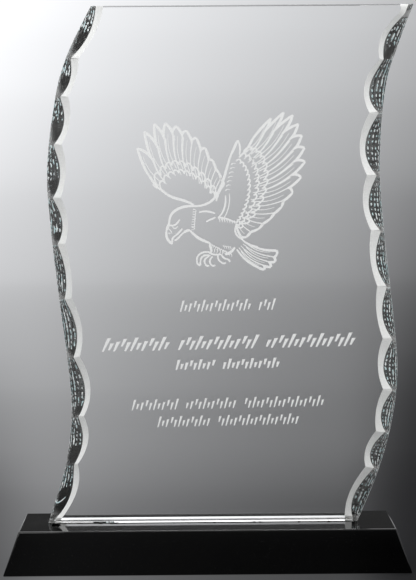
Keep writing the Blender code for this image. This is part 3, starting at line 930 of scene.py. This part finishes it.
def beadTree():
    tree = Tree("adhesive_beads", {"Count": 8, "Run": 0.15, "Size": 0.001, "Seed": 0}, adhesive)
    seed = tree.input("Seed")
    index = tree.add("GeometryNodeInputIndex")
    along = tree.add("FunctionNodeRandomValue", {"data_type": "FLOAT"},
                     {"Min": -0.5, "Max": 0.5, "ID": index, "Seed": seed}, 1)
    size = tree.add("FunctionNodeRandomValue", {"data_type": "FLOAT"},
                    {"Min": 0.5, "Max": 1.0, "ID": index, "Seed": seed + 1.0}, 1)
    place = tree.vector({"X": along * tree.input("Run")})
    bead = tree.add("GeometryNodeMeshUVSphere", None, {"Segments": 16, "Rings": 10, "Radius": 1.0})
    wide = size * tree.input("Size")
    scale = tree.vector({"X": wide, "Y": wide * film["beadDeep"], "Z": tree.input("Size") * film["beadTall"]})
    tree.finish(tree.shade(tree.scatter(place, bead, scale), True))
    return tree


def makeBeads():
    run = plateFootRight - plateFootLeft - 2 * film["beadEnds"]
    values = {"Count": film["beads"], "Run": run, "Size": film["beadSize"], "Seed": film["seed"]}
    source = addObject("bead_source", bpy.data.meshes.new("bead_source"))
    piece = grow(beadTree(), source, "adhesive_beads", values)
    middle = Vector(((plateFootLeft + plateFootRight) / 2, plateLow.y + film["beadInset"],
                     baseHigh.z + film["beadRise"]))
    piece.data.transform(Matrix.Translation(middle))
    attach(piece, "root")
    print("adhesive made")


makeFilmPiece()
makeBeads()

# Studio: a pale paper sweep with soft light, painted lighter at the upper left. The paper glows by itself
# with painted light: painted tones and shades go from the award back along the floor and up the sweep, and
# painted slants and corner shade go to the sides.
studio = {"front": -9.0, "bendStart": 2.0, "bend": 1.2, "top": 5.0, "halfWidth": 6.0, "bendSteps": 24}
paper = {
    "colour": (0.015, 0.015, 0.016, 1.0), "roughness": 0.9, "reach": 5.0,
    # painted light: the tones, slants, shades and corner below paint the paper's glow and its shade
    "tones": ((0.0, 0.088), (0.25, 0.135), (0.76, 0.210), (1.9, 0.330), (2.65, 0.468), (3.1, 0.63),
              (3.4, 0.75), (3.9, 0.88), (4.2, 1.02)),
    "tint": (0.990, 1.0, 1.022),
    "cameraBack": 1.065, "widest": 0.13, "nearSlant": 7.5, "farSlant": 3.2, "slantReach": 3.4,
    "shades": ((0.0, 1.35), (0.155, 1.10), (0.385, 0.64), (1.04, 0.25), (2.6, 0.06), (3.1, 0.02)),
    "corner": (0.068, 0.037), "cornerLeft": 0.56, "cornerRight": 2.0, "cornerTurn": 0.03,
    # a painted shade: a dark band above the picture
    "paintedShadeBand": (0.54, 0.62, 0.80, 0.94), "flagTone": 0.06, "flagHalf": (0.50, 0.65),
    "outer": (0.72, 0.73, 0.735), "asideStart": (0.125, 0.115), "aside": 0.40, "ahead": (0.08, 0.45),
}
lights = {  # place, aim, size and power
    "key": ((-1.3, -2.4, 0.80), (0.0, 0.0, 0.16), (1.1, 0.8), 24.0),
    "rim": ((0.0, 1.2, 1.6), (0.0, 0.0, 0.15), (1.6, 0.8), 20.0),
    "top": ((0.0, 0.15, 1.5), (0.0, 0.1, 0.0), (1.6, 1.1), 7.0),
}


def makePaper():
    material, tree, shader = newMaterial("paper")
    _, (x, y, z) = objectPlace(tree)
    reach = paper["reach"]
    tone, shade = (addRamp(tree, (y + z) / reach, [(place / reach, value) for place, value in stops])
                   for stops in (paper["tones"], paper["shades"]))
    behind = y.atLeast(0.0)
    # painted light: the glow is painted falling off towards the right, with painted shade into the corners
    across = (x / (behind + paper["cameraBack"])).atLeast(-paper["widest"]).atMost(paper["widest"])
    start, width = paper["corner"]
    corner = (abs(across) - start).atLeast(0.0) / width
    toRight = across.rises(-paper["cornerTurn"], paper["cornerTurn"])
    corner = corner * corner * shade * (
        paper["cornerLeft"] + (paper["cornerRight"] - paper["cornerLeft"]) * toRight)
    far = ((y + z) / paper["slantReach"]).clamp()
    slope = paper["nearSlant"] + (paper["farSlant"] - paper["nearSlant"]) * far
    paintedFalloff = math.e ** (-slope * across - corner)
    # the painted shade band across the upper sweep
    low, dark, back, high = paper["paintedShadeBand"]
    paintedShadeBand = z.rises(low, dark) * (1.0 - z.rises(back, high)) * (1.0 - abs(x).rises(*paper["flagHalf"]))
    # the paper is evenly bright out to both sides and in front
    half, spread = paper["asideStart"]
    aside = (abs(x) - (half + spread * behind)).rises(0.0, paper["aside"])
    outside = 1.0 - (1.0 - aside) * (1.0 - (-y).rises(*paper["ahead"]))
    shown = paper["flagTone"] * paintedShadeBand
    tones = [(tone * paintedFalloff * tint * (1.0 - outside) + outer * outside) * (1.0 - paintedShadeBand) + shown
             for tint, outer in zip(paper["tint"], paper["outer"])]
    # the paper's painted glow, given as its emission colour
    paintedGlow = addNode(tree, "ShaderNodeCombineColor", None, dict(zip(("Red", "Green", "Blue"), tones)))
    setShader(tree, shader, {"Base Color": paper["colour"], "Roughness": paper["roughness"],
                             "Specular IOR Level": 0.0, "Emission Color": paintedGlow, "Emission Strength": 1.0})
    return material


def makeSweep():
    profile = [(studio["front"], 0.0), (0.0, 0.0), (studio["bendStart"], 0.0)]
    for step in range(1, studio["bendSteps"] + 1):
        angle = math.pi / 2 * step / studio["bendSteps"]
        profile.append((studio["bendStart"] + studio["bend"] * math.sin(angle),
                        studio["bend"] * (1 - math.cos(angle))))
    profile.append((profile[-1][0], studio["top"]))
    bm = bmesh.new()
    sides = [[bm.verts.new((x, y, z)) for y, z in profile]
             for x in (-studio["halfWidth"], studio["halfWidth"])]
    for index in range(len(profile) - 1):
        bm.faces.new((sides[0][index], sides[1][index], sides[1][index + 1], sides[0][index + 1]))
    mesh = takeMesh("paper_sweep", bm)
    mesh.shade_smooth()
    mesh.materials.append(makePaper())
    addObject("paper_sweep", mesh)


makeSweep()


def areaLight(name, place, target, size, power):
    light = bpy.data.lights.new(name, "AREA")
    light.shape = "RECTANGLE"
    light.size, light.size_y = size
    light.energy = power
    holder = addObject(name, light)
    holder.location = place
    holder.rotation_euler = (Vector(target) - Vector(place)).to_track_quat("-Z", "Y").to_euler()


def makeWorld():
    world = bpy.data.worlds.new("studio")
    bpy.context.scene.world = world
    world.use_nodes = True
    background = world.node_tree.nodes["Background"]
    background.inputs["Color"].default_value = (*paper["outer"], 1.0)
    background.inputs["Strength"].default_value = 1.0


makeWorld()
for name, settings in lights.items():
    areaLight(name, *settings)
print("studio made")

# The camera, solved from the corners of the base in the photograph
camera = {"place": (-0.0063, -1.0653, 0.2495), "yaw": 0.412, "pitch": 4.941, "roll": -0.4015,
          "focalPixels": 1896.97, "framePixels": 580, "sensorWidth": 36.0}


def makeCamera():
    data = bpy.data.cameras.new("camera")
    data.sensor_width = camera["sensorWidth"]
    data.lens = camera["focalPixels"] * data.sensor_width / camera["framePixels"]
    holder = addObject("camera", data)
    yaw, pitch, roll = (math.radians(camera[name]) for name in ("yaw", "pitch", "roll"))
    turn = (Matrix.Rotation(-yaw, 4, "Z") @ Matrix.Rotation(math.pi / 2 - pitch, 4, "X")
            @ Matrix.Rotation(roll, 4, "Z"))
    holder.matrix_world = Matrix.Translation(camera["place"]) @ turn
    bpy.context.scene.camera = holder


makeCamera()
bpy.context.scene.view_settings.view_transform = "Standard"
